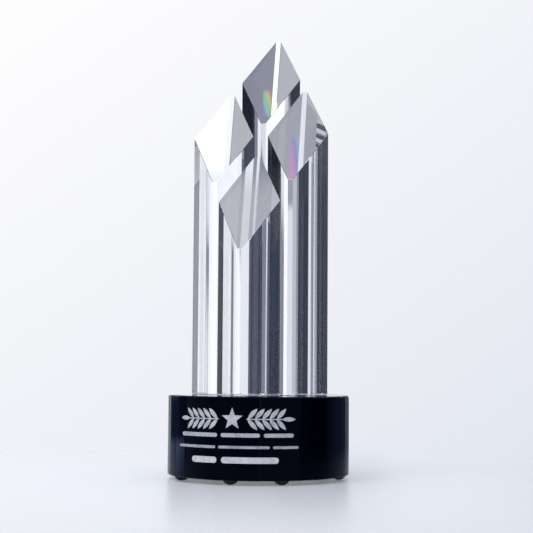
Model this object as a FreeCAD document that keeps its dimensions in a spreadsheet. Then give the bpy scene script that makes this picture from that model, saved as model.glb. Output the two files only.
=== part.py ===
import FreeCAD, Part
import math
import os

from FreeCAD import Placement, Rotation, Vector
import Sketcher

# A crystal tower award: four square clear columns with slanted tops stand on edge in a diamond on a
# round black crystal base. The base rests on eight stick-on rubber feet, and its front is engraved
# and filled. Millimetres. The origin is on the table under the middle of the base, +Z is up and the
# engraved front faces -Y.

# Driving sizes: name, value, what it is.
SIZES = [
    ("base_diameter", 121.6, "round base, across its wall"),
    ("base_height", 52.6, "round base, underside to top"),
    ("base_top_bevel", 0.8, "polished bevel round the top rim"),
    ("base_bottom_bevel", 0.6, "polished bevel round the bottom rim"),
    ("column_side", 30.0, "square column, across its faces"),
    ("column_gap", 7.2, "air between the faces of neighbouring columns"),
    ("edge_flat", 2.4, "ground flat on the front and back edges, measured along a face"),
    ("side_arris", 0.2, "arris on the left and right edges, measured along a face"),
    ("face_bevel", 0.15, "bevel round the slanted face and round the foot of a column"),
    ("top_angle", 59.6, "degrees that the slanted face leans from level"),
    ("front_column_length", 128.0, "front column, from its foot to the slanted face on its axis"),
    ("side_column_length", 175.8, "left and right columns, the same way"),
    ("back_column_length", 219.3, "back column, the same way"),
    ("adhesive_thickness", 0.15, "clear cured adhesive under each column"),
    ("adhesive_inset", 0.6, "from the sides of a column to the edge of its adhesive"),
    ("foot_diameter", 9.5, "domed rubber foot"),
    ("foot_height", 3.0, "domed rubber foot, tip to glued face"),
    ("foot_skirt", 0.6, "straight part of a foot's side, next to the base"),
    ("foot_tip_diameter", 2.4, "flat that a foot stands on"),
    ("foot_dome_radius", 5.8, "rounding of the dome"),
    ("foot_inset", 6.8, "wall of the base to the middle of a foot"),
    ("foot_angle_1", -142.0, "degrees round the base from +X: the feet are placed by hand"),
    ("foot_angle_2", -93.0, "second foot"),
    ("foot_angle_3", -58.0, "third foot"),
    ("foot_angle_4", 8.0, "fourth foot"),
    ("foot_angle_5", 50.0, "fifth foot"),
    ("foot_angle_6", 92.0, "sixth foot"),
    ("foot_angle_7", 138.0, "seventh foot"),
    ("foot_angle_8", 178.0, "eighth foot"),
    ("engraving_depth", 0.4, "depth of the blasted recesses in the wall"),
    ("fill_recess", 0.1, "from the wall down to the face of the fill"),
    ("engraving_rise", 2.1, "half the base's height up to the middle of the whole engraving"),
    ("emblem_height", 14.8, "star between its laurels, bottom to top"),
    ("star_waist", 3.1, "star, middle to inner corner"),
    ("star_space", 1.7, "star to the start of a laurel stem, along the wall"),
    ("stem_length", 23.5, "laurel stem, along the wall"),
    ("stem_width", 0.8, "laurel stem"),
    ("leaf_margin", 0.7, "tips of the leaves to the top and bottom of the emblem"),
    ("leaf_width", 2.9, "laurel leaf, across its middle"),
    ("leaf_tilt", 47.0, "degrees between a leaf and its stem"),
    ("leaf_pitch", 4.6, "along the stem from one pair of leaves to the next"),
    ("caption_gap", 1.4, "emblem down to the caption bars"),
    ("caption_thickness", 2.6, "caption bars, bottom to top"),
    ("caption_space", 2.4, "between caption bars"),
    ("caption_bar_1", 29.7, "first caption bar, along the wall"),
    ("caption_bar_2", 25.5, "second caption bar"),
    ("caption_bar_3", 19.5, "third caption bar"),
    ("citation_gap", 5.3, "caption bars down to the citation bars"),
    ("citation_thickness", 1.8, "citation bars, bottom to top"),
    ("citation_space", 2.0, "between citation bars"),
    ("citation_bar_1", 31.8, "first citation bar, along the wall"),
    ("citation_bar_2", 33.5, "second citation bar"),
    ("citation_bar_3", 17.1, "third citation bar"),
    ("name_gap", 5.2, "citation bars down to the name bars"),
    ("name_thickness", 4.0, "name bars, bottom to top"),
    ("name_space", 3.1, "between name bars"),
    ("name_bar_1", 19.5, "first name bar, along the wall"),
    ("name_bar_2", 37.2, "second name bar"),
]

# Columns: node, the size that is its length, and which way it stands from the middle of the base.
COLUMNS = [
    ("column_front", "front_column_length", 0, -1),
    ("column_left", "side_column_length", -1, 0),
    ("column_right", "side_column_length", 1, 0),
    ("column_back", "back_column_length", 0, 1),
]
FOOT_COUNT = 8
STAR_POINTS = 5

# Engraved lines, and how many bars each has.
LINES = {"caption": 3, "citation": 3, "name": 2}

# How far a cutting tool reaches past what it cuts.
CLEAR = 2.0

doc = FreeCAD.newDocument("crystal_award")


# ---- the sizes ------------------------------------------------------------------------------------

sheet = doc.addObject("Spreadsheet::Sheet", "sizes")
for row, (alias, value, note) in enumerate(SIZES, start=1):
    sheet.set(f"A{row}", alias)
    sheet.set(f"B{row}", str(value))
    sheet.set(f"C{row}", note)
    sheet.setAlias(f"B{row}", alias)
doc.recompute()


def size(alias):
    return float(sheet.get(alias))


# ---- sketches -------------------------------------------------------------------------------------

ORIGIN = (-1, 1)
LEVEL_AXIS = -1
UPRIGHT_AXIS = -2


def new_body(label):
    body = doc.addObject("PartDesign::Body", label)
    body.Label = label
    return body


def new_sketch(body, role, label):
    plane = next(feature for feature in body.Origin.OriginFeatures if feature.Role == role)
    sketch = body.newObject("Sketcher::SketchObject", label)
    sketch.AttachmentSupport = [(plane, "")]
    sketch.MapMode = "FlatFace"
    return sketch


def closed_outline(sketch, points):
    """Straight lines from point to point and back to the first, joined at their ends."""
    corners = [Vector(x, y, 0) for x, y in points]
    for start, end in zip(corners, corners[1:] + corners[:1]):
        sketch.addGeometry(Part.LineSegment(start, end), False)
    for line in range(len(corners)):
        join(sketch, (line, 2), ((line + 1) % len(corners), 1))


def join(sketch, one, other):
    sketch.addConstraint(Sketcher.Constraint("Coincident", *one, *other))


def mirror(sketch, one, other, axis):
    sketch.addConstraint(Sketcher.Constraint("Symmetric", *one, *other, axis))


def dimension(sketch, kind, near, far, formula):
    """A DistanceX or DistanceY from one (line, end) to another, tied to the sheet."""
    axis = "x" if kind == "DistanceX" else "y"
    drawn = getattr(sketch.getPoint(*far), axis) - getattr(sketch.getPoint(*near), axis)
    number = sketch.addConstraint(Sketcher.Constraint(kind, *near, *far, drawn))
    sketch.setExpression(f"Constraints[{number}]", formula)


def turn(body, sketch, label):
    feature = body.newObject("PartDesign::Revolution", f"{label}_turned")
    feature.Profile = sketch
    feature.ReferenceAxis = (sketch, ["V_Axis"])
    feature.Angle = 360
    return feature


# ---- the clear columns ----------------------------------------------------------------------------

def column_section(body, label):
    """A square standing on its corner, with a flat on its front and back corners and an arris on its
    left and right ones."""
    half_flat = size("edge_flat") / math.sqrt(2)
    half_arris = size("side_arris") / math.sqrt(2)
    reach = size("column_side") / math.sqrt(2)
    sketch = new_sketch(body, "XY_Plane", label)
    closed_outline(sketch, [
        (half_flat, half_flat - reach),
        (reach - half_arris, -half_arris),
        (reach - half_arris, half_arris),
        (half_flat, reach - half_flat),
        (-half_flat, reach - half_flat),
        (half_arris - reach, half_arris),
        (half_arris - reach, -half_arris),
        (-half_flat, half_flat - reach),
    ])
    mirror(sketch, (0, 1), (7, 1), UPRIGHT_AXIS)
    mirror(sketch, (3, 1), (4, 1), UPRIGHT_AXIS)
    mirror(sketch, (2, 1), (5, 1), UPRIGHT_AXIS)
    mirror(sketch, (0, 1), (3, 1), LEVEL_AXIS)
    mirror(sketch, (1, 1), (2, 1), LEVEL_AXIS)
    mirror(sketch, (6, 1), (5, 1), LEVEL_AXIS)
    dimension(sketch, "DistanceX", ORIGIN, (0, 1), "sizes.edge_flat / sqrt(2)")
    dimension(sketch, "DistanceY", (0, 1), ORIGIN, "(sizes.column_side - sizes.edge_flat) / sqrt(2)")
    dimension(sketch, "DistanceX", ORIGIN, (1, 1), "(sizes.column_side - sizes.side_arris) / sqrt(2)")
    dimension(sketch, "DistanceY", (1, 1), ORIGIN, "sizes.side_arris / sqrt(2)")
    return sketch


def slant_outline(body, label, length):
    """The wedge above the slanted face, seen from the side: it is high at the back."""
    slope = math.tan(math.radians(size("top_angle")))
    half = size("column_side")
    low = size(length) - slope * half
    high = size(length) + slope * half
    sketch = new_sketch(body, "YZ_Plane", label)
    closed_outline(sketch, [(-half, low), (half, high), (-half, high)])
    dimension(sketch, "DistanceX", (0, 1), ORIGIN, "sizes.column_side")
    dimension(sketch, "DistanceX", ORIGIN, (1, 1), "sizes.column_side")
    dimension(sketch, "DistanceX", (2, 1), ORIGIN, "sizes.column_side")
    rise = "sizes.column_side * tan(sizes.top_angle * 1 deg)"
    dimension(sketch, "DistanceY", ORIGIN, (0, 1), f"sizes.{length} - {rise}")
    dimension(sketch, "DistanceY", ORIGIN, (1, 1), f"sizes.{length} + {rise}")
    dimension(sketch, "DistanceY", ORIGIN, (2, 1), f"sizes.{length} + {rise}")
    return sketch


def end_faces(shape):
    """Names of the slanted face and of the flat foot."""
    names = []
    for number, face in enumerate(shape.Faces, start=1):
        tilt = face.normalAt(0, 0).z
        if abs(tilt) > 0.1:
            names.append(f"Face{number}")
    return names


def stand_on_base(body, across, along, level):
    """Places a body's own origin over a column's place: the columns' faces are a gap apart."""
    step = "(sizes.column_side + sizes.column_gap) / sqrt(2)"
    body.Placement = Placement(Vector(0, 0, 0), Rotation())
    body.setExpression(".Placement.Base.x", f"{across} * {step}")
    body.setExpression(".Placement.Base.y", f"{along} * {step}")
    body.setExpression(".Placement.Base.z", level)


def make_column(label, length, across, along):
    body = new_body(label)
    pad = body.newObject("PartDesign::Pad", f"{label}_stock")
    pad.Profile = column_section(body, f"{label}_section")
    pad.setExpression("Length", f"sizes.{length} + sizes.column_side * tan(sizes.top_angle * 1 deg)")
    slant = body.newObject("PartDesign::Pocket", f"{label}_slant")
    slant.Profile = slant_outline(body, f"{label}_slant_outline", length)
    slant.Type = "ThroughAll"
    slant.Midplane = True
    doc.recompute()
    bevel = body.newObject("PartDesign::Chamfer", f"{label}_bevel")
    bevel.Base = (slant, end_faces(slant.Shape))
    bevel.setExpression("Size", "sizes.face_bevel")
    body.Tip = bevel
    stand_on_base(body, across, along, "sizes.foot_height + sizes.base_height + sizes.adhesive_thickness")
    return body


def make_adhesive(label, across, along):
    """A thin film with the column's outline drawn in, so that no adhesive shows past the column."""
    half_flat = size("edge_flat") / math.sqrt(2)
    reach = size("column_side") / math.sqrt(2)
    body = new_body(label)
    sketch = new_sketch(body, "XY_Plane", f"{label}_outline")
    closed_outline(sketch, [
        (half_flat, half_flat - reach),
        (reach, 0),
        (half_flat, reach - half_flat),
        (-half_flat, reach - half_flat),
        (-reach, 0),
        (-half_flat, half_flat - reach),
    ])
    mirror(sketch, (0, 1), (5, 1), UPRIGHT_AXIS)
    mirror(sketch, (2, 1), (3, 1), UPRIGHT_AXIS)
    mirror(sketch, (1, 1), (4, 1), UPRIGHT_AXIS)
    mirror(sketch, (0, 1), (2, 1), LEVEL_AXIS)
    sketch.addConstraint(Sketcher.Constraint("PointOnObject", 1, 1, LEVEL_AXIS))
    half_width = "sizes.edge_flat / sqrt(2) - sizes.adhesive_inset * tan(22.5 deg)"
    dimension(sketch, "DistanceX", ORIGIN, (0, 1), half_width)
    depth = "(sizes.column_side - sizes.edge_flat) / sqrt(2) - sizes.adhesive_inset"
    dimension(sketch, "DistanceY", (0, 1), ORIGIN, depth)
    width = "(sizes.column_side - 2 * sizes.adhesive_inset) / sqrt(2)"
    dimension(sketch, "DistanceX", ORIGIN, (1, 1), width)
    pad = body.newObject("PartDesign::Pad", f"{label}_film")
    pad.Profile = sketch
    pad.setExpression("Length", "sizes.adhesive_thickness")
    stand_on_base(body, across, along, "sizes.foot_height + sizes.base_height")
    return body


# ---- the rubber feet ------------------------------------------------------------------------------

def make_foot(label, angle):
    """A turned dome: a short straight skirt next to the base, then an arc down to a small flat."""
    edge = size("foot_diameter") / 2
    tip = size("foot_tip_diameter") / 2
    top = size("foot_height")
    shoulder = top - size("foot_skirt")
    body = new_body(label)
    sketch = new_sketch(body, "XZ_Plane", f"{label}_profile")
    sketch.addGeometry(Part.LineSegment(Vector(0, 0, 0), Vector(0, top, 0)), False)
    sketch.addGeometry(Part.LineSegment(Vector(0, top, 0), Vector(edge, top, 0)), False)
    sketch.addGeometry(Part.LineSegment(Vector(edge, top, 0), Vector(edge, shoulder, 0)), False)
    dome = bulging_arc(Vector(tip, 0, 0), Vector(edge, shoulder, 0), size("foot_dome_radius"))
    sketch.addGeometry(dome, False)
    sketch.addGeometry(Part.LineSegment(Vector(tip, 0, 0), Vector(0, 0, 0)), False)
    for one, other in (((0, 2), (1, 1)), ((1, 2), (2, 1)), ((2, 2), (3, 2)), ((3, 1), (4, 1)), ((4, 2), (0, 1))):
        join(sketch, one, other)
    join(sketch, (0, 1), ORIGIN)
    sketch.addConstraint(Sketcher.Constraint("Vertical", 0))
    sketch.addConstraint(Sketcher.Constraint("Horizontal", 1))
    sketch.addConstraint(Sketcher.Constraint("Vertical", 2))
    sketch.addConstraint(Sketcher.Constraint("Horizontal", 4))
    dimension(sketch, "DistanceY", (0, 1), (0, 2), "sizes.foot_height")
    dimension(sketch, "DistanceX", (1, 1), (1, 2), "sizes.foot_diameter / 2")
    dimension(sketch, "DistanceY", (2, 2), (2, 1), "sizes.foot_skirt")
    dimension(sketch, "DistanceX", (4, 2), (4, 1), "sizes.foot_tip_diameter / 2")
    rounding = sketch.addConstraint(Sketcher.Constraint("Radius", 3, size("foot_dome_radius")))
    sketch.setExpression(f"Constraints[{rounding}]", "sizes.foot_dome_radius")
    turn(body, sketch, label)
    ring = "(sizes.base_diameter / 2 - sizes.foot_inset)"
    body.setExpression(".Placement.Base.x", f"{ring} * cos(sizes.{angle} * 1 deg)")
    body.setExpression(".Placement.Base.y", f"{ring} * sin(sizes.{angle} * 1 deg)")
    return body


def bulging_arc(low, high, radius):
    """The arc from low to high, of this radius, that bulges down and outwards."""
    chord = high - low
    outwards = Vector(chord.y, -chord.x, 0).normalize()
    centre = (low + high) * 0.5 - outwards * math.sqrt(radius ** 2 - (chord.Length / 2) ** 2)
    start = math.atan2(low.y - centre.y, low.x - centre.x)
    stop = math.atan2(high.y - centre.y, high.x - centre.x)
    return Part.ArcOfCircle(Part.Circle(centre, Vector(0, 0, 1), radius), start, stop)


# ---- the base and its engraving -------------------------------------------------------------------

def make_blank():
    """The round base before it is engraved, with its two rims bevelled."""
    wall = size("base_diameter") / 2
    top = size("base_height")
    top_bevel = size("base_top_bevel")
    bottom_bevel = size("base_bottom_bevel")
    body = new_body("base_blank")
    sketch = new_sketch(body, "XZ_Plane", "base_profile")
    closed_outline(sketch, [
        (0, 0),
        (wall - bottom_bevel, 0),
        (wall, bottom_bevel),
        (wall, top - top_bevel),
        (wall - top_bevel, top),
        (0, top),
    ])
    join(sketch, (0, 1), ORIGIN)
    for level in (0, 4):
        sketch.addConstraint(Sketcher.Constraint("Horizontal", level))
    for upright in (2, 5):
        sketch.addConstraint(Sketcher.Constraint("Vertical", upright))
    dimension(sketch, "DistanceY", (5, 2), (5, 1), "sizes.base_height")
    dimension(sketch, "DistanceX", ORIGIN, (2, 1), "sizes.base_diameter / 2")
    dimension(sketch, "DistanceX", (1, 1), (2, 1), "sizes.base_bottom_bevel")
    dimension(sketch, "DistanceY", (1, 1), (2, 1), "sizes.base_bottom_bevel")
    dimension(sketch, "DistanceX", (4, 1), (3, 1), "sizes.base_top_bevel")
    dimension(sketch, "DistanceY", (3, 1), (4, 1), "sizes.base_top_bevel")
    turn(body, sketch, "base")
    body.setExpression(".Placement.Base.z", "sizes.foot_height")
    return body


def wall_band(label, outer, inner):
    """A thin ring along the wall, as tall as the base, between two radii given as formulas."""
    rings = []
    for side, radius in (("outside", outer), ("inside", inner)):
        ring = doc.addObject("Part::Cylinder", f"{label}_{side}")
        ring.setExpression("Radius", radius)
        ring.setExpression("Height", "sizes.base_height")
        ring.setExpression(".Placement.Base.z", "sizes.foot_height")
        rings.append(ring)
    band = doc.addObject("Part::Cut", label)
    band.Base, band.Tool = rings
    return band


def row_levels():
    """Height of the middle of each engraved row on the award, worked out from the top row down."""
    heights = {"emblem": size("emblem_height")}
    gaps = {"emblem": 0}
    for line in LINES:
        heights[line] = size(f"{line}_thickness")
        gaps[line] = size(f"{line}_gap")
    whole = sum(heights.values()) + sum(gaps.values())
    top = size("foot_height") + size("base_height") / 2 + size("engraving_rise") + whole / 2
    levels = {}
    for row, height in heights.items():
        levels[row] = top - gaps[row] - height / 2
        top = levels[row] - height / 2
    return levels


def facing_out(shape, along_wall):
    """Turns a shape drawn square to the front line (x along the wall, y = 0 at the base's middle)
    to face out of the wall this far along it, in millimetres."""
    turned = shape.copy()
    degrees = math.degrees(along_wall / (size("base_diameter") / 2))
    turned.rotate(Vector(0, 0, 0), Vector(0, 0, 1), degrees)
    return turned


def prism(corners, level):
    """A prism on an outline of (x, z) corners round a point at this level. It runs out through the
    front wall."""
    outline = [Vector(x, -size("base_diameter") / 4, level + z) for x, z in corners]
    face = Part.Face(Part.makePolygon(outline + outline[:1]))
    return face.extrude(Vector(0, -size("base_diameter") / 4 - CLEAR, 0))


def disc(diameter, level):
    """A round rod that runs out through the front wall at this level."""
    start = Vector(0, -size("base_diameter") / 4, level)
    length = size("base_diameter") / 4 + CLEAR
    return Part.makeCylinder(diameter / 2, length, start, Vector(0, -1, 0))


def strip(start, length, thickness, level):
    """A strip with round ends, wrapped along the wall. start and length are measured on the wall,
    from the front line, and level is the height of its middle."""
    wall = size("base_diameter") / 2
    low = Vector(0, 0, level - thickness / 2)
    straight = length - thickness
    sweep = math.degrees(straight / wall)
    slice_ = Part.makeCylinder(wall + CLEAR, thickness, low, Vector(0, 0, 1), sweep)
    first = math.degrees((start + thickness / 2) / wall) - 90
    slice_.rotate(Vector(0, 0, 0), Vector(0, 0, 1), first)
    ends = [facing_out(disc(thickness, level), start + thickness / 2),
            facing_out(disc(thickness, level), start + length - thickness / 2)]
    return slice_.fuse(ends)


def star_outline(level):
    """A five-pointed star, point up, as tall as the emblem above its middle."""
    corners = []
    for corner in range(2 * STAR_POINTS):
        radius = size("star_waist") if corner % 2 else size("emblem_height") / 2
        turned = math.pi / 2 + corner * math.pi / STAR_POINTS
        corners.append((radius * math.cos(turned), radius * math.sin(turned)))
    return prism(corners, level)


def leaf_length():
    """Root to tip, so that a tilted leaf ends a margin inside the emblem's height."""
    reach = size("emblem_height") / 2 - size("leaf_margin")
    return reach / math.sin(math.radians(size("leaf_tilt")))


def leaf(tilt, root, side, level):
    """One pointed leaf: two arcs from root to tip, leaning away from the stem by tilt degrees."""
    half_length = leaf_length() / 2
    bulge = size("leaf_width") / 2
    back = -size("base_diameter") / 4
    ends = [Vector(0, back, 0), Vector(2 * half_length, back, 0)]
    upper = Part.Arc(ends[0], Vector(half_length, back, bulge), ends[1]).toShape()
    lower = Part.Arc(ends[1], Vector(half_length, back, -bulge), ends[0]).toShape()
    blade = Part.Face(Part.Wire([upper, lower])).extrude(Vector(0, back - CLEAR, 0))
    blade.rotate(Vector(0, 0, 0), Vector(0, 1, 0), -tilt)
    if side < 0:
        blade = blade.mirror(Vector(0, 0, 0), Vector(1, 0, 0))
    blade.translate(Vector(0, 0, level))
    return facing_out(blade, side * root)


def laurel_outline(side, level):
    """A branch that grows away from the star: a stem, pairs of leaves and one leaf at its end."""
    start = size("emblem_height") / 2 + size("star_space")
    length = size("stem_length")
    tilt = size("leaf_tilt")
    begin = start if side > 0 else -start - length
    stem = strip(begin, length, size("stem_width"), level)
    leaves = [leaf(0, start + length - size("stem_width"), side, level)]
    root = start + size("stem_width")
    while root + size("leaf_pitch") / 2 < start + length:
        leaves += [leaf(tilt, root, side, level), leaf(-tilt, root, side, level)]
        root += size("leaf_pitch")
    return stem.fuse(leaves)


def bar_outlines(line, level):
    """The bars of one engraved line, centred as a row on the front line."""
    lengths = [size(f"{line}_bar_{number}") for number in range(1, LINES[line] + 1)]
    space = size(f"{line}_space")
    start = -(sum(lengths) + space * (len(lengths) - 1)) / 2
    outlines = {}
    for number, length in enumerate(lengths, start=1):
        outlines[f"{line}_bar_{number}"] = strip(start, length, size(f"{line}_thickness"), level)
        start += length + space
    return outlines


def make_engraving():
    """Cuts each engraved figure into the base and fills it. Returns the base and the fills."""
    levels = row_levels()
    outlines = {
        "emblem_star": star_outline(levels["emblem"]),
        "emblem_laurel_left": laurel_outline(-1, levels["emblem"]),
        "emblem_laurel_right": laurel_outline(1, levels["emblem"]),
    }
    for line in LINES:
        outlines.update(bar_outlines(line, levels[line]))
    floor = "sizes.base_diameter / 2 - sizes.engraving_depth"
    cut_band = wall_band("cut_band", f"sizes.base_diameter / 2 + {CLEAR / 2}", floor)
    fill_band = wall_band("fill_band", "sizes.base_diameter / 2 - sizes.fill_recess", floor)
    cutters = []
    fills = []
    for label, shape in outlines.items():
        outline = doc.addObject("Part::Feature", f"{label}_outline")
        outline.Shape = shape
        cutter = doc.addObject("Part::Common", f"{label}_recess")
        cutter.Base, cutter.Tool = outline, cut_band
        cutters.append(cutter)
        fill = doc.addObject("Part::Common", label)
        fill.Base, fill.Tool = outline, fill_band
        fill.Label = label
        fills.append(fill)
    recesses = doc.addObject("Part::MultiFuse", "recesses")
    recesses.Shapes = cutters
    base = doc.addObject("Part::Cut", "base")
    base.Label = "base"
    base.Base, base.Tool = make_blank(), recesses
    return [base] + fills


# ---- the whole award ------------------------------------------------------------------------------

pieces = make_engraving()
for label, length, across, along in COLUMNS:
    pieces.append(make_column(label, length, across, along))
    pieces.append(make_adhesive(label.replace("column", "adhesive"), across, along))
for number in range(1, FOOT_COUNT + 1):
    pieces.append(make_foot(f"foot_{number}", f"foot_angle_{number}"))
doc.recompute()

for thing in doc.Objects:
    if "Invalid" in thing.State or "Error" in thing.State:
        raise RuntimeError(f"{thing.Label} failed: {thing.State}")
for piece in pieces:
    if piece.Shape.isNull() or not piece.Shape.isValid() or not piece.Shape.Solids:
        raise RuntimeError(f"{piece.Label} is not a sound solid")

os.makedirs("parts", exist_ok=True)
for piece in pieces:
    piece.Shape.exportStep(f"parts/{piece.Label}.step")
    box = piece.Shape.BoundBox
    print(f"{piece.Label}: {len(piece.Shape.Solids)} solid, {piece.Shape.Volume:.1f} mm3, "
          f"z {box.ZMin:.2f} to {box.ZMax:.2f}")
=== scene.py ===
import math

import bpy
from mathutils import Matrix, Vector


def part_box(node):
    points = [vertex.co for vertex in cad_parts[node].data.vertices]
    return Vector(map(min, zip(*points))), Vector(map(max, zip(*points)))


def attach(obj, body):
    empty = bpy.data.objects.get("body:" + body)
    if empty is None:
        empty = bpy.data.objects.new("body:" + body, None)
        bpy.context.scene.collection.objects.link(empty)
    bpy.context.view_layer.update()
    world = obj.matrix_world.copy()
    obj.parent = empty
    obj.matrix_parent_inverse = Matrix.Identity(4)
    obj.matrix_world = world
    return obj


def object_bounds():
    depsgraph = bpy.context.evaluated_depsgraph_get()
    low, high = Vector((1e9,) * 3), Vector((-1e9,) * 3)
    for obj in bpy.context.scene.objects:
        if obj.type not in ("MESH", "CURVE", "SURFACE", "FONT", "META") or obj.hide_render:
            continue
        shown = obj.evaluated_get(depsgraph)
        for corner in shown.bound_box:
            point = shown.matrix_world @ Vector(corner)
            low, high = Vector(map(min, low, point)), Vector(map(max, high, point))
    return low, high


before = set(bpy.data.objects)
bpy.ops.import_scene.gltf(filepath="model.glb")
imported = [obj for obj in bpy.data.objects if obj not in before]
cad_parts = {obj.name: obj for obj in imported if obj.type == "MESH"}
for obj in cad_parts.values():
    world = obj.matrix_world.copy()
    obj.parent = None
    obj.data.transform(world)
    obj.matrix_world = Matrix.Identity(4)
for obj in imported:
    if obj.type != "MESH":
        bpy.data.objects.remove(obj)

# A crystal tower award: four clear square columns with slanted tops on a round black crystal base,
# with a frosted engraving on its front and domed rubber feet. Metres, +Z up, engraved front at -Y.

CAD_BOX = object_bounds()
CENTRE = (CAD_BOX[0] + CAD_BOX[1]) / 2

COLUMNS = ["column_front", "column_left", "column_right", "column_back"]


# ---- camera ---------------------------------------------------------------------------------------

CAMERA_DISTANCE = 0.895     # from the award's middle line, measured level
CAMERA_HEIGHT = 0.075
CAMERA_SWING = math.radians(15.56)      # round to the right of the engraved front
CAMERA_SIDESTEP = 0.00469   # the award stands a little left of the middle of the frame
CAMERA_TILT = math.radians(4.3)         # upwards
CAMERA_ROLL = math.radians(0.4)
SENSOR = 36.0
LENS = 89.35


def set_camera():
    data = bpy.data.cameras.new("studio_camera")
    data.sensor_width = SENSOR
    data.lens = LENS
    data.clip_start = 0.01
    data.clip_end = 50
    camera = bpy.data.objects.new("studio_camera", data)
    bpy.context.scene.collection.objects.link(camera)
    swing = Matrix.Rotation(CAMERA_SWING, 4, "Z")
    place = swing @ Vector((CAMERA_SIDESTEP, -CAMERA_DISTANCE, CAMERA_HEIGHT))
    lift = Matrix.Rotation(math.pi / 2 + CAMERA_TILT, 4, "X")
    camera.matrix_world = Matrix.Translation(place) @ swing @ lift @ Matrix.Rotation(CAMERA_ROLL, 4, "Z")
    bpy.context.scene.camera = camera


# ---- shader helpers -------------------------------------------------------------------------------

class Bench:
    """A node tree, and short words for adding nodes to it and joining them up."""

    def __init__(self, tree):
        self.tree = tree

    def node(self, kind, **settings):
        made = self.tree.nodes.new(kind)
        for name, value in settings.items():
            setattr(made, name, value)
        return made

    def join(self, source, target):
        self.tree.links.new(source, target)

    def feed(self, socket, value):
        if isinstance(value, bpy.types.NodeSocket):
            self.join(value, socket)
        else:
            socket.default_value = value

    def maths(self, operation, first, second=0.0):
        made = self.node("ShaderNodeMath", operation=operation)
        self.feed(made.inputs[0], first)
        self.feed(made.inputs[1], second)
        return made.outputs[0]

    def remap(self, value, low, high, out_low=0.0, out_high=1.0, smooth=True):
        made = self.node("ShaderNodeMapRange")
        made.interpolation_type = "SMOOTHSTEP" if smooth else "LINEAR"
        for name, number in (("Value", value), ("From Min", low), ("From Max", high),
                             ("To Min", out_low), ("To Max", out_high)):
            self.feed(made.inputs[name], number)
        return made.outputs["Result"]

    def blend(self, share, one, other, mode="MIX"):
        made = self.node("ShaderNodeMix", data_type="RGBA", blend_type=mode)
        self.feed(made.inputs["Factor"], share)
        self.feed(made.inputs["A"], one)
        self.feed(made.inputs["B"], other)
        return made.outputs["Result"]

    def noise(self, place, scale, detail=3.0, roughness=0.5):
        made = self.node("ShaderNodeTexNoise")
        self.feed(made.inputs["Vector"], place)
        self.feed(made.inputs["Scale"], scale)
        made.inputs["Detail"].default_value = detail
        made.inputs["Roughness"].default_value = roughness
        return made.outputs["Fac"]


def new_material(name):
    material = bpy.data.materials.new(name)
    material.use_nodes = True
    bench = Bench(material.node_tree)
    bench.tree.nodes.clear()
    output = bench.node("ShaderNodeOutputMaterial")
    surface = bench.node("ShaderNodeBsdfPrincipled")
    bench.join(surface.outputs[0], output.inputs["Surface"])
    return material, bench, surface


def new_group(name, inputs, outputs):
    tree = bpy.data.node_groups.new(name, "ShaderNodeTree")
    for title, kind, value in inputs:
        socket = tree.interface.new_socket(title, in_out="INPUT", socket_type=kind)
        if value is not None:
            socket.default_value = value
    for title, kind in outputs:
        tree.interface.new_socket(title, in_out="OUTPUT", socket_type=kind)
    bench = Bench(tree)
    return tree, bench, bench.node("NodeGroupInput"), bench.node("NodeGroupOutput")


def place_group(bench, tree, **values):
    made = bench.node("ShaderNodeGroup", node_tree=tree)
    for name, value in values.items():
        bench.feed(made.inputs[name.replace("_", " ")], value)
    return made.outputs


# ---- shared effects -------------------------------------------------------------------------------

def handling_marks_group():
    """Faint wipe marks and a few specks of dust on a polished face."""
    tree, bench, given, out = new_group(
        "Handling Marks",
        [("Wipe Scale", "NodeSocketFloat", 30.0), ("Speck Scale", "NodeSocketFloat", 400.0),
         ("Speck Share", "NodeSocketFloat", 0.02), ("Wipe Strength", "NodeSocketFloat", 0.02),
         ("Speck Strength", "NodeSocketFloat", 0.2)],
        [("Roughness", "NodeSocketFloat"), ("Specks", "NodeSocketFloat")])
    place = bench.node("ShaderNodeTexCoord").outputs["Object"]
    wipes = bench.remap(bench.noise(place, given.outputs["Wipe Scale"], 5.0, 0.6), 0.45, 0.75)
    cells = bench.node("ShaderNodeTexVoronoi", feature="F1")
    bench.feed(cells.inputs["Vector"], place)
    bench.feed(cells.inputs["Scale"], given.outputs["Speck Scale"])
    specks = bench.remap(cells.outputs["Distance"], given.outputs["Speck Share"], 0.0)
    smeared = bench.maths("MULTIPLY", wipes, given.outputs["Wipe Strength"])
    dusty = bench.maths("MULTIPLY", specks, given.outputs["Speck Strength"])
    bench.join(bench.maths("ADD", smeared, dusty), out.inputs["Roughness"])
    bench.join(specks, out.inputs["Specks"])
    return tree


def blasted_grain_group():
    """The fine crushed grain of a sand-blasted, filled recess: a light and dark speckle and its height."""
    tree, bench, given, out = new_group(
        "Blasted Grain",
        [("Light", "NodeSocketColor", (0.9, 0.9, 0.9, 1)), ("Dark", "NodeSocketColor", (0.4, 0.4, 0.4, 1)),
         ("Grain Scale", "NodeSocketFloat", 2500.0), ("Patch Scale", "NodeSocketFloat", 220.0)],
        [("Color", "NodeSocketColor"), ("Height", "NodeSocketFloat"), ("Roughness", "NodeSocketFloat")])
    place = bench.node("ShaderNodeTexCoord").outputs["Object"]
    grain = bench.noise(place, given.outputs["Grain Scale"], 2.0, 0.7)
    patches = bench.noise(place, given.outputs["Patch Scale"], 3.0, 0.6)
    both = bench.maths("ADD", bench.maths("MULTIPLY", grain, 0.6), bench.maths("MULTIPLY", patches, 0.4))
    share = bench.remap(both, 0.36, 0.58)
    bench.join(bench.blend(share, given.outputs["Dark"], given.outputs["Light"]), out.inputs["Color"])
    bench.join(grain, out.inputs["Height"])
    bench.join(bench.remap(grain, 0.3, 0.7, 0.45, 0.8, smooth=False), out.inputs["Roughness"])
    return tree


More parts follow.
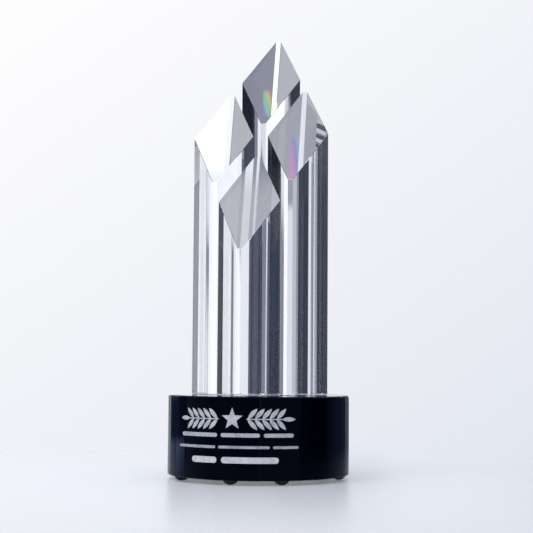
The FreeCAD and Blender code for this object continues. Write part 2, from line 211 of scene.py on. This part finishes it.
# ---- finishes -------------------------------------------------------------------------------------

CRYSTAL_IOR = 1.527
ADHESIVE_IOR = 1.5
GRAIN_DEPTH = 0.00008       # of a blasted, filled face
RUBBER_SKIN_DEPTH = 0.00003
BLACK_POLISH = 0.012        # roughness of the base where it is clean
RUBBER_SATIN = 0.38


def clear_crystal(marks):
    """Polished optical crystal."""
    material, bench, surface = new_material("clear_crystal")
    wear = place_group(bench, marks, Wipe_Scale=22.0, Speck_Scale=260.0, Speck_Share=0.05,
                       Wipe_Strength=0.0, Speck_Strength=0.25)
    tint = bench.blend(wear["Specks"], (0.985, 0.99, 1.0, 1), (0.86, 0.87, 0.9, 1))
    bench.join(tint, surface.inputs["Base Color"])
    bench.join(wear["Roughness"], surface.inputs["Roughness"])
    surface.inputs["IOR"].default_value = CRYSTAL_IOR
    surface.inputs["Transmission Weight"].default_value = 1.0
    return material


def black_crystal(marks):
    """Black crystal, polished, with a painted navy glow where it is seen edge-on near its edge, standing in
    for light shining through it.
    """
    material, bench, surface = new_material("black_crystal")
    wear = place_group(bench, marks, Wipe_Scale=28.0, Speck_Scale=210.0, Speck_Share=0.05,
                       Wipe_Strength=0.03, Speck_Strength=0.2)
    # Painted glow: the base colour lightens to navy where a face is seen edge-on, standing in for light
    # that shines through the crystal near its edge.
    facing = bench.node("ShaderNodeLayerWeight")
    facing.inputs["Blend"].default_value = 0.5
    painted_glow_share = bench.remap(facing.outputs["Facing"], 0.3, 0.7)
    body = bench.blend(painted_glow_share, (0.0006, 0.0008, 0.0045, 1), (0.007, 0.011, 0.028, 1))
    tone = bench.blend(wear["Specks"], body, (0.006, 0.007, 0.014, 1))
    bench.join(tone, surface.inputs["Base Color"])
    bench.join(bench.maths("ADD", wear["Roughness"], BLACK_POLISH), surface.inputs["Roughness"])
    surface.inputs["IOR"].default_value = CRYSTAL_IOR
    surface.inputs["Specular IOR Level"].default_value = 0.07
    surface.inputs["Specular Tint"].default_value = (0.45, 0.65, 1.0, 1)
    return material


def engraving_fill(name, grain, light, dark):
    """Silver-white fill in a sand-blasted recess."""
    material, bench, surface = new_material(name)
    look = place_group(bench, grain, Light=light, Dark=dark, Grain_Scale=2600.0, Patch_Scale=240.0)
    bench.join(look["Color"], surface.inputs["Base Color"])
    bench.join(look["Roughness"], surface.inputs["Roughness"])
    bump = bench.node("ShaderNodeBump")
    bump.inputs["Distance"].default_value = GRAIN_DEPTH
    bump.inputs["Strength"].default_value = 0.6
    bench.join(look["Height"], bump.inputs["Height"])
    bench.join(bump.outputs["Normal"], surface.inputs["Normal"])
    return material


def moulded_rubber(marks):
    """Black moulded rubber with a fine matt skin."""
    material, bench, surface = new_material("black_rubber")
    wear = place_group(bench, marks, Wipe_Scale=180.0, Speck_Scale=900.0, Speck_Share=0.09,
                       Wipe_Strength=0.2, Speck_Strength=0.1)
    tone = bench.blend(wear["Specks"], (0.012, 0.012, 0.014, 1), (0.06, 0.06, 0.065, 1))
    bench.join(tone, surface.inputs["Base Color"])
    bench.join(bench.maths("ADD", wear["Roughness"], RUBBER_SATIN), surface.inputs["Roughness"])
    place = bench.node("ShaderNodeTexCoord").outputs["Object"]
    bump = bench.node("ShaderNodeBump")
    bump.inputs["Distance"].default_value = RUBBER_SKIN_DEPTH
    bench.join(bench.noise(place, 3000.0, 2.0), bump.inputs["Height"])
    bench.join(bump.outputs["Normal"], surface.inputs["Normal"])
    return material


def cured_adhesive():
    """Clear cured adhesive with a few tiny bubbles."""
    material, bench, surface = new_material("clear_adhesive")
    place = bench.node("ShaderNodeTexCoord").outputs["Object"]
    bubbles = bench.remap(bench.noise(place, 900.0, 1.0), 0.66, 0.72)
    tone = bench.blend(bubbles, (0.93, 0.95, 0.97, 1), (0.6, 0.62, 0.66, 1))
    bench.join(tone, surface.inputs["Base Color"])
    bench.join(bench.remap(bubbles, 0, 1, 0.05, 0.4), surface.inputs["Roughness"])
    surface.inputs["IOR"].default_value = ADHESIVE_IOR
    surface.inputs["Transmission Weight"].default_value = 1.0
    return material


def give(node, material):
    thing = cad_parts[node]
    for place in thing.material_slots:
        place.material = material


# ---- studio ---------------------------------------------------------------------------------------

# The studio round the award, as panels seen level from it. Each begins at an angle from the way the
# camera looks, in degrees to the right, and runs to the next.
WHITE = (1.13, 1.15, 1.18)
CHALK = (0.96, 0.98, 1.04)
PEARL = (0.78, 0.80, 0.87)
SILVER = (0.56, 0.58, 0.65)
PALE = (0.44, 0.44, 0.49)
MIST = (0.33, 0.34, 0.40)
SLATE = (0.22, 0.23, 0.30)
STEEL = (0.11, 0.12, 0.17)
DUSK = (0.045, 0.054, 0.09)
NAVY = (0.019, 0.026, 0.048)
BLACK = (0.002, 0.003, 0.008)
PANELS = [
    (-20.0, WHITE),
    (-4.0, CHALK),
    (0.0, WHITE),
    (1.0, PEARL),
    (5.0, WHITE),
    (12.0, MIST),
    (26.5, WHITE),
    (29.8, SLATE),
    (33.0, MIST),
    (38.0, STEEL),
    (84.0, BLACK),
    (117.0, STEEL),
    (120.0, BLACK),
    (124.0, STEEL),
    (126.0, PALE),
    (176.5, WHITE),
    (178.9, SLATE),
    (208.0, MIST),
    (210.9, STEEL),
    (212.5, MIST),
    (234.0, SLATE),
    (243.0, MIST),
    (250.0, PALE),
    (282.0, NAVY),
    (301.0, DUSK),
    (303.0, PALE),
    (304.0, PEARL),
    (305.5, MIST),
    (318.0, SLATE),
    (326.0, CHALK),
    (333.0, SILVER),
]
FULL_TURN = 360.0
PANEL_EDGE = 0.12       # half the width of the soft line between two panels, in degrees
CARD_EDGE = 0.005       # the same for a card's lower and upper edges, as a height
GLOW = (1.00, 1.30, 2.20)
GLIMMER = (0.40, 0.52, 0.85)
CEILING = (0.95, 0.98, 1.05)
TABLE = (0.50, 0.51, 0.56)
FAR_FLOOR = (0.34, 0.35, 0.40)

# A height in the studio is the sine of the angle above level.
CEILING_EDGE = (0.45, 0.75)
TABLE_EDGE = (-0.165, -0.19)
TABLE_SHARE = 0.6
FAR_FLOOR_EDGE = (-0.25, -0.45)

# The cosines of the angles, from the way the camera looks, between which light that came straight
# through the glass begins to have a pale wall behind it.
PALE_WALL_EDGE = (0.72, 0.64)

# What stands behind the award for the camera: light on the left and above, darker right and below.
BACKDROP_LIGHT = (1.02, 1.01, 1.015, 1)
BACKDROP_DARK = (0.735, 0.77, 0.85, 1)
BACKDROP_REACH = (-0.75, 0.45)
BACKDROP_SIDEWAYS = 1.1
BACKDROP_DOWNWARDS = 1.6

# Smaller cards hung before the panels: where each begins and ends, its lower and upper edge, its tone.
# The later ones lie over the earlier ones. The low ones show only in the wall of the base.
CARDS = [
    (32.9, 34.3, -0.05, 0.12, PEARL),
    (30.0, 30.9, 0.09, 0.30, PEARL),
    (32.0, 32.9, 0.06, 0.30, PEARL),
    (303.5, 324.0, -0.12, -0.024, NAVY),
    (305.0, 326.0, -0.12, -0.056, GLIMMER),
    (285.0, 305.0, -0.12, -0.056, GLOW),
    (8.0, 26.3, -0.10, -0.024, SLATE),
    (36.0, 60.0, -0.10, -0.024, DUSK),
]

# Small splashes of split light on the panels: angle, half width, height, half height, and the hue at the
# lower left and at the upper right of each.
SPLASH_STRENGTH = 0.55
SPLASH_SLANT = 0.6
SPLASHES = [
    (32.30, 0.38, -0.129, 0.010, 0.72, 0.0),
    (34.45, 0.40, -0.163, 0.020, 0.92, 0.56),
    (27.52, 0.05, 0.04, 0.06, 0.07, 0.08),
    (-2.36, 0.04, 0.04, 0.06, 0.05, 0.06),
]


def studio_world():
    world = bpy.data.worlds.new("studio")
    bpy.context.scene.world = world
    world.use_nodes = True
    bench = Bench(world.node_tree)
    bench.tree.nodes.clear()
    output = bench.node("ShaderNodeOutputWorld")
    light = bench.node("ShaderNodeBackground")
    seen = bench.node("ShaderNodeBackground")
    way = bench.node("ShaderNodeTexCoord").outputs["Generated"]
    parts = bench.node("ShaderNodeSeparateXYZ")
    bench.join(way, parts.inputs[0])
    east, north, height = parts.outputs
    heading = bench.maths("ARCTAN2", east, north)
    swung = bench.maths("ADD", heading, CAMERA_SWING)
    forward = bench.maths("ADD", swung, 4 * math.pi)
    turns = bench.maths("FRACT", bench.maths("DIVIDE", forward, 2 * math.pi))
    around = bench.maths("MULTIPLY", turns, FULL_TURN)
    panels = sorted((start % FULL_TURN, colour) for start, colour in PANELS)
    walls = (*panels[-1][1], 1)
    for start, colour in panels:
        share = bench.remap(around, start - PANEL_EDGE, start + PANEL_EDGE)
        walls = bench.blend(share, walls, (*colour, 1))
    for begin, end, low, high, colour in CARDS:
        across = bench.maths("MULTIPLY", bench.remap(around, begin - PANEL_EDGE, begin + PANEL_EDGE),
                             bench.remap(around, end + PANEL_EDGE, end - PANEL_EDGE))
        upright = bench.maths("MULTIPLY", bench.remap(height, low - CARD_EDGE, low + CARD_EDGE),
                              bench.remap(height, high + CARD_EDGE, high - CARD_EDGE))
        walls = bench.blend(bench.maths("MULTIPLY", across, upright), walls, (*colour, 1))
    for angle, half_width, middle, half_height, hue_from, hue_to in SPLASHES:
        walls = splash(bench, walls, swung, height, math.radians(angle), math.radians(half_width),
                       middle, half_height, hue_from, hue_to)
    # From the side and from behind, light that came straight through the glass has a pale wall behind it.
    path = bench.node("ShaderNodeLightPath")
    beyond = bench.remap(bench.maths("COSINE", swung), *PALE_WALL_EDGE)
    unturned = bench.maths("LESS_THAN", path.outputs["Glossy Depth"], 0.5)
    straight = bench.maths("MULTIPLY", path.outputs["Is Transmission Ray"], unturned)
    walls = bench.blend(bench.maths("MULTIPLY", straight, beyond), walls, (*WHITE, 1))
    # Above the panels a wide soft ceiling lights the award and its table; below them the room is dim.
    ceiling = bench.remap(height, *CEILING_EDGE)
    table = bench.remap(height, *TABLE_EDGE, 0.0, TABLE_SHARE)
    below = bench.remap(height, *FAR_FLOOR_EDGE)
    low = bench.blend(below, bench.blend(table, walls, (*TABLE, 1)), (*FAR_FLOOR, 1))
    bench.join(bench.blend(ceiling, low, (*CEILING, 1)), light.inputs["Color"])
    # What the camera sees behind the award.
    aside = bench.maths("MULTIPLY", bench.maths("SINE", swung), BACKDROP_SIDEWAYS)
    fall = bench.maths("SUBTRACT", aside, bench.maths("MULTIPLY", height, BACKDROP_DOWNWARDS))
    shade = bench.remap(fall, *BACKDROP_REACH, smooth=False)
    backdrop = bench.blend(shade, BACKDROP_LIGHT, BACKDROP_DARK)
    bench.join(backdrop, seen.inputs["Color"])
    pick = bench.node("ShaderNodeMixShader")
    bench.join(path.outputs["Is Camera Ray"], pick.inputs["Fac"])
    bench.join(light.outputs[0], pick.inputs[1])
    bench.join(seen.outputs[0], pick.inputs[2])
    bench.join(pick.outputs[0], output.inputs["Surface"])


def splash(bench, walls, swung, height, angle, half_width, middle, half_height, hue_from, hue_to):
    """Lay one soft-edged splash of split light over the panels."""
    across = bench.maths("DIVIDE", bench.maths("SUBTRACT", swung, angle), half_width)
    along = bench.maths("DIVIDE", bench.maths("SUBTRACT", height, middle), half_height)
    inside_across = bench.remap(bench.maths("ABSOLUTE", across), 1.0, 0.5)
    inside_along = bench.remap(bench.maths("ABSOLUTE", along), 1.0, 0.5)
    slant = bench.maths("ADD", bench.maths("MULTIPLY", across, 0.5), bench.maths("MULTIPLY", along, 0.5))
    hue = bench.remap(slant, -SPLASH_SLANT, SPLASH_SLANT, hue_from, hue_to, smooth=False)
    colour = bench.node("ShaderNodeCombineColor", mode="HSV")
    bench.feed(colour.inputs[0], hue)
    bench.feed(colour.inputs[1], SPLASH_STRENGTH)
    bench.feed(colour.inputs[2], SPLASH_STRENGTH)
    return bench.blend(bench.maths("MULTIPLY", inside_across, inside_along), walls, colour.outputs["Color"])


FLOOR_RADIUS = 0.46
FLOOR_STEPS = 96
# Painted light and shade: the floor's colour runs from lighter on the left to darker on the right, standing
# in for the light falling off to the right.
FLOOR_PAINTED_LIGHT_LEFT = (0.84, 0.86, 0.905, 1)
FLOOR_PAINTED_SHADE_RIGHT = (0.70, 0.735, 0.79, 1)
FLOOR_SHADE_REACH = 0.25        # each way from the middle
FLOOR_SOLID = 0.78
FLOOR_FADE = (0.07, 0.43)       # from here to here outwards, the floor melts away

BOX_PLACE = (-0.35, -0.55, 0.95)
BOX_WIDTH = 0.6
BOX_HEIGHT = 0.4
BOX_WATTS = 3.0


def studio_floor():
    """A round pale satin table top, painted lighter on the left and darker on the right as the light falls
    off, that melts away towards its rim.
    """
    mesh = bpy.data.meshes.new("floor")
    corners = [(FLOOR_RADIUS * math.cos(2 * math.pi * k / FLOOR_STEPS),
                FLOOR_RADIUS * math.sin(2 * math.pi * k / FLOOR_STEPS), 0.0) for k in range(FLOOR_STEPS)]
    mesh.from_pydata(corners, [], [tuple(range(FLOOR_STEPS))])
    floor = bpy.data.objects.new("floor", mesh)
    bpy.context.scene.collection.objects.link(floor)
    material, bench, surface = new_material("floor_board")
    place = bench.node("ShaderNodeTexCoord").outputs["Object"]
    east = bench.node("ShaderNodeSeparateXYZ")
    bench.join(place, east.inputs[0])
    cloudy = bench.remap(bench.noise(place, 9.0, 2.0), 0.3, 0.7, -0.01, 0.01)
    across = bench.maths("ADD", east.outputs["X"], cloudy)
    # Painted shade: the base colour darkens from left to right across the floor, where the light falls off.
    shade = bench.remap(across, -FLOOR_SHADE_REACH, FLOOR_SHADE_REACH, smooth=False)
    bench.join(bench.blend(shade, FLOOR_PAINTED_LIGHT_LEFT, FLOOR_PAINTED_SHADE_RIGHT), surface.inputs["Base Color"])
    bench.join(bench.remap(bench.noise(place, 6.0, 1.0), 0.3, 0.7, 0.28, 0.29), surface.inputs["Roughness"])
    surface.inputs["Specular IOR Level"].default_value = 0.5
    reach = bench.node("ShaderNodeVectorMath", operation="LENGTH")
    bench.join(place, reach.inputs[0])
    solid = bench.remap(reach.outputs["Value"], *FLOOR_FADE, FLOOR_SOLID, 0.0)
    bench.join(solid, surface.inputs["Alpha"])
    mesh.materials.append(material)


def soft_box(name, place, width, height, watts):
    data = bpy.data.lights.new(name, "AREA")
    data.shape = "RECTANGLE"
    data.size = width
    data.size_y = height
    data.energy = watts
    box = bpy.data.objects.new(name, data)
    bpy.context.scene.collection.objects.link(box)
    box.location = place
    box.visible_glossy = False      # it lights the award, and is not mirrored in it
    aim = Vector(CENTRE) - Vector(place)
    box.rotation_euler = aim.to_track_quat("-Z", "Y").to_euler()


# ---- the award ------------------------------------------------------------------------------------

JOINT_SHADE_LIFT = 0.00003      # above a column's polished foot, inside the crystal
SAME_LEVEL = 0.00001


def black_joints(material):
    """What shows through each column's glued foot: the black of the base, with no air in between."""
    for node in COLUMNS:
        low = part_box(node)[0]
        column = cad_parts[node]
        foot = [column.matrix_world @ v.co for v in column.data.vertices
                if abs((column.matrix_world @ v.co).z - low[2]) < SAME_LEVEL]
        middle = sum(foot, Vector()) / len(foot)
        around = sorted({(round(p.x, 5), round(p.y, 5)) for p in foot},
                        key=lambda p: math.atan2(p[1] - middle.y, p[0] - middle.x))
        mesh = bpy.data.meshes.new(f"{node}_joint")
        level = low[2] + JOINT_SHADE_LIFT
        mesh.from_pydata([(x, y, level) for x, y in around], [], [tuple(range(len(around)))])
        mesh.materials.append(material)
        sheet = bpy.data.objects.new(f"joint_under_{node}", mesh)
        bpy.context.scene.collection.objects.link(sheet)
        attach(sheet, "root")


set_camera()
studio_world()
studio_floor()
marks = handling_marks_group()
grain = blasted_grain_group()
crystal = clear_crystal(marks)
black = black_crystal(marks)
rubber = moulded_rubber(marks)
glue = cured_adhesive()
fills = {
    "emblem": engraving_fill("emblem_fill", grain, (0.80, 0.82, 0.87, 1), (0.42, 0.44, 0.5, 1)),
    "caption": engraving_fill("caption_fill", grain, (0.72, 0.74, 0.8, 1), (0.4, 0.42, 0.48, 1)),
    "citation": engraving_fill("citation_fill", grain, (0.62, 0.64, 0.7, 1), (0.3, 0.32, 0.38, 1)),
    "name": engraving_fill("name_fill", grain, (0.93, 0.94, 0.97, 1), (0.62, 0.64, 0.7, 1)),
}
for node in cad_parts:
    kind = node.split("_")[0]
    if kind == "column":
        give(node, crystal)
    elif kind == "adhesive":
        give(node, glue)
    elif kind == "foot":
        give(node, rubber)
    elif kind in fills:
        give(node, fills[kind])
    else:
        give(node, black)
black_joints(black)
soft_box("overhead_box", BOX_PLACE, BOX_WIDTH, BOX_HEIGHT, BOX_WATTS)

view = bpy.context.scene.view_settings
view.view_transform = "Standard"
view.look = "None"
cycles = bpy.context.scene.cycles
cycles.max_bounces = 24
cycles.transmission_bounces = 24
cycles.glossy_bounces = 12
cycles.transparent_max_bounces = 12
